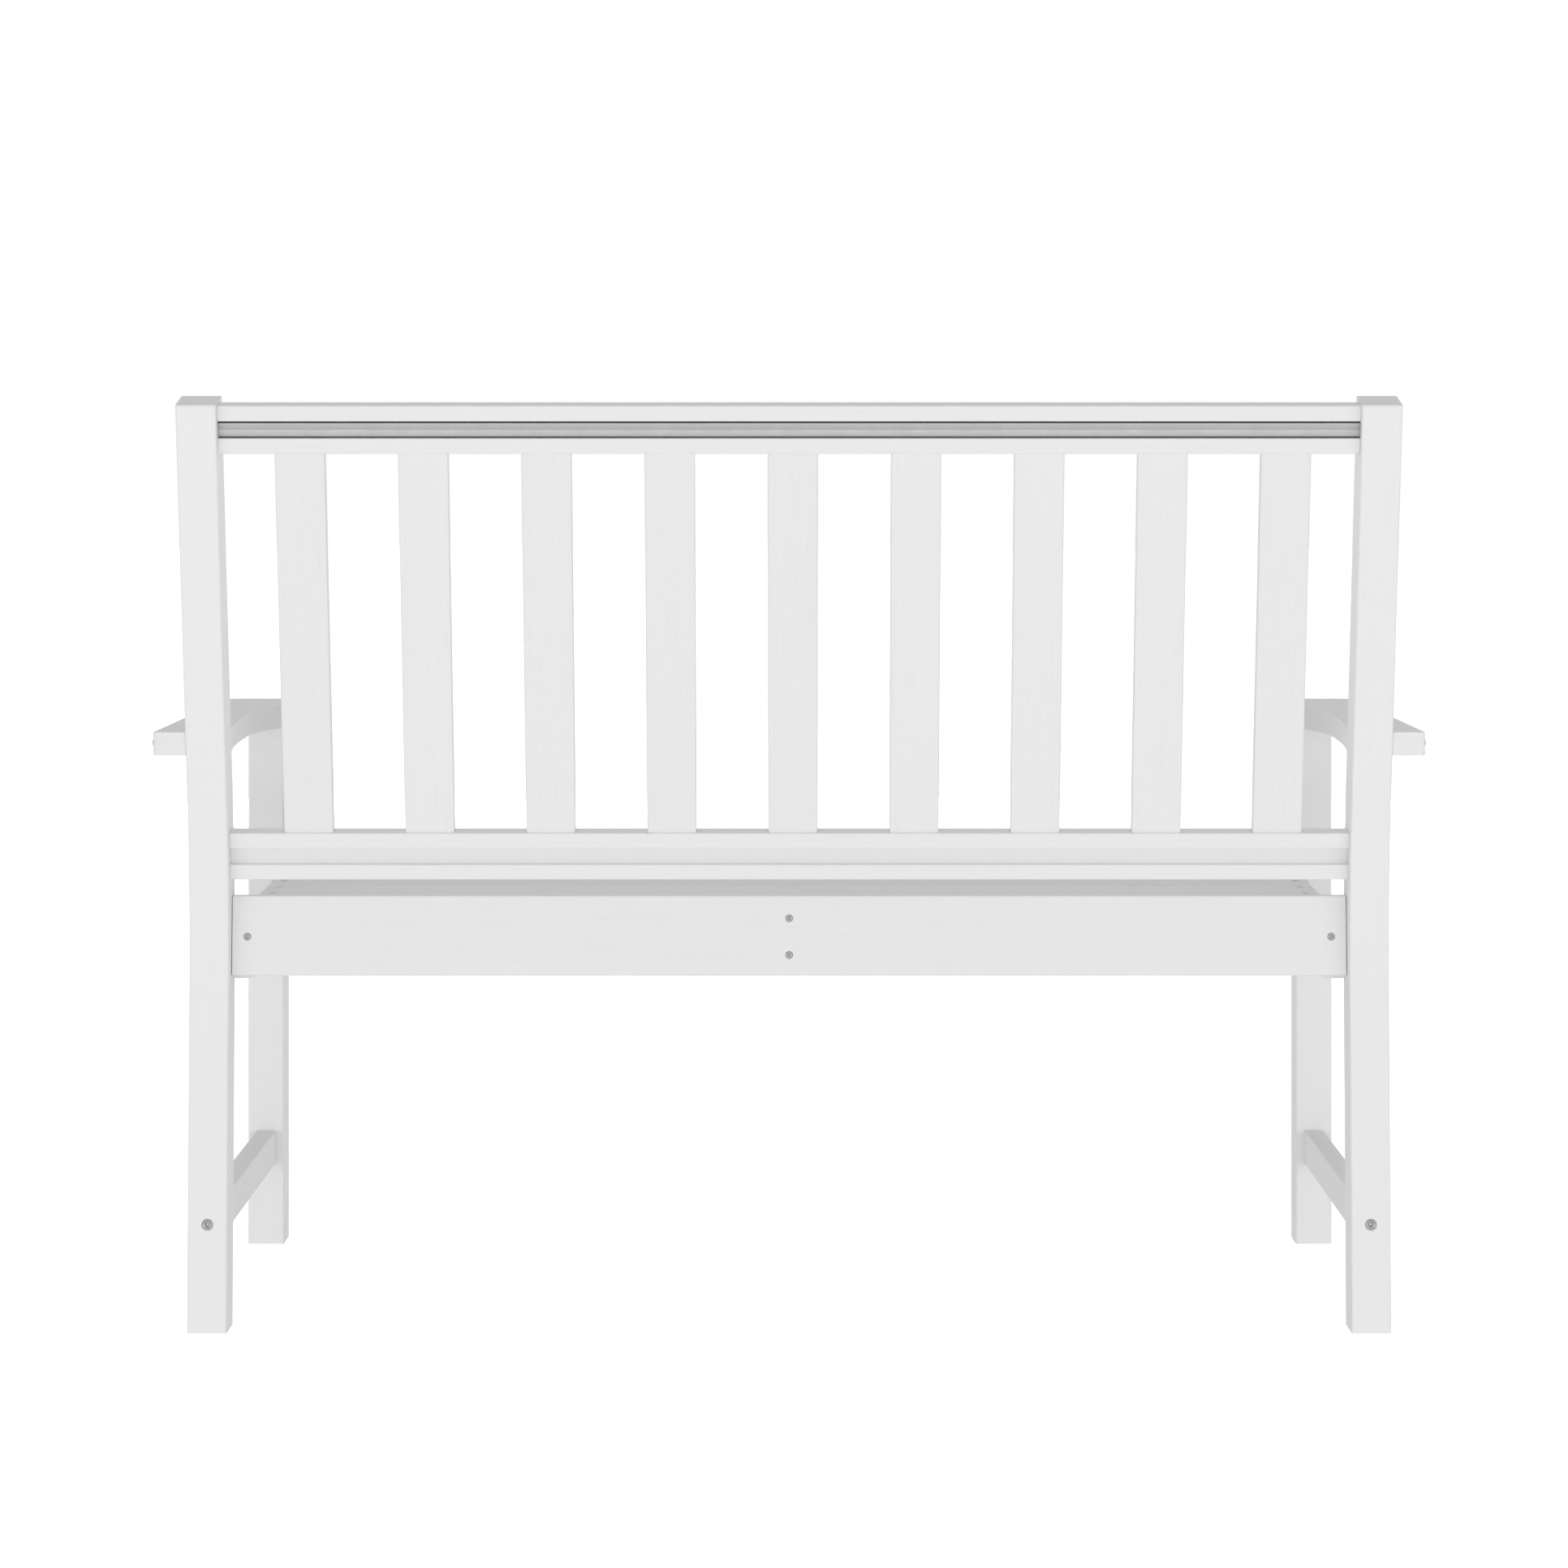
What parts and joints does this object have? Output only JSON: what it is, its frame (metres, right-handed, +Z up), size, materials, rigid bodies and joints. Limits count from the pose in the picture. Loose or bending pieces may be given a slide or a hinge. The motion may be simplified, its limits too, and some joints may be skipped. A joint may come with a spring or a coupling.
{
  "type": "garden bench",
  "caption": "Slatted outdoor bench of white plastic lumber with reclined back, dished board seat, flat scooped arms and side stretchers.",
  "frame": {"origin": "on the floor, under the middle of the whole bench", "axes": "+X along the bench to the sitter's left, +Y rearward, +Z up"},
  "size_m": [1.2508, 0.619, 0.918],
  "materials": {
    "lumber_upright": "white embossed wood grain, running up the posts",
    "lumber_lengthwise": "white embossed wood grain, running along the bench",
    "lumber_depthwise": "white embossed wood grain, running front to back",
    "lumber_slat": "white embossed wood grain, running up the slats",
    "stiffener_metal": "satin",
    "fastener_steel": "satin stainless",
    "washer_steel": "satin stainless",
    "dowel_plastic": "plain"
  },
  "bodies": {
    "root": {"rear_leg_left": "lumber_upright", "rear_leg_right": "lumber_upright", "front_leg_left": "lumber_upright", "front_leg_right": "lumber_upright", "arm_left": "lumber_depthwise", "arm_right": "lumber_depthwise", "stretcher_left": "lumber_depthwise", "stretcher_right": "lumber_depthwise", "side_seat_rail_left": "lumber_depthwise", "side_seat_rail_right": "lumber_depthwise", "center_seat_support": "lumber_depthwise", "rear_apron": "lumber_lengthwise", "front_apron": "lumber_lengthwise", "seat_board_1": "lumber_lengthwise", "seat_board_2": "lumber_lengthwise", "seat_board_3": "lumber_lengthwise", "seat_board_4": "lumber_lengthwise", "seat_board_5": "lumber_lengthwise", "back_top_rail": "lumber_lengthwise", "back_bottom_rail": "lumber_lengthwise", "top_rail_stiffener": "stiffener_metal", "back_slat_1": "lumber_slat", "back_slat_2": "lumber_slat", "back_slat_3": "lumber_slat", "back_slat_4": "lumber_slat", "back_slat_5": "lumber_slat", "back_slat_6": "lumber_slat", "back_slat_7": "lumber_slat", "back_slat_8": "lumber_slat", "back_slat_9": "lumber_slat", "seat_screws": "fastener_steel", "apron_screws": "fastener_steel", "frame_screws": "fastener_steel", "arm_screws": "fastener_steel", "arm_dowels": "dowel_plastic", "stretcher_washers": "washer_steel", "stretcher_bolts": "fastener_steel"}
  },
  "joints": []
}
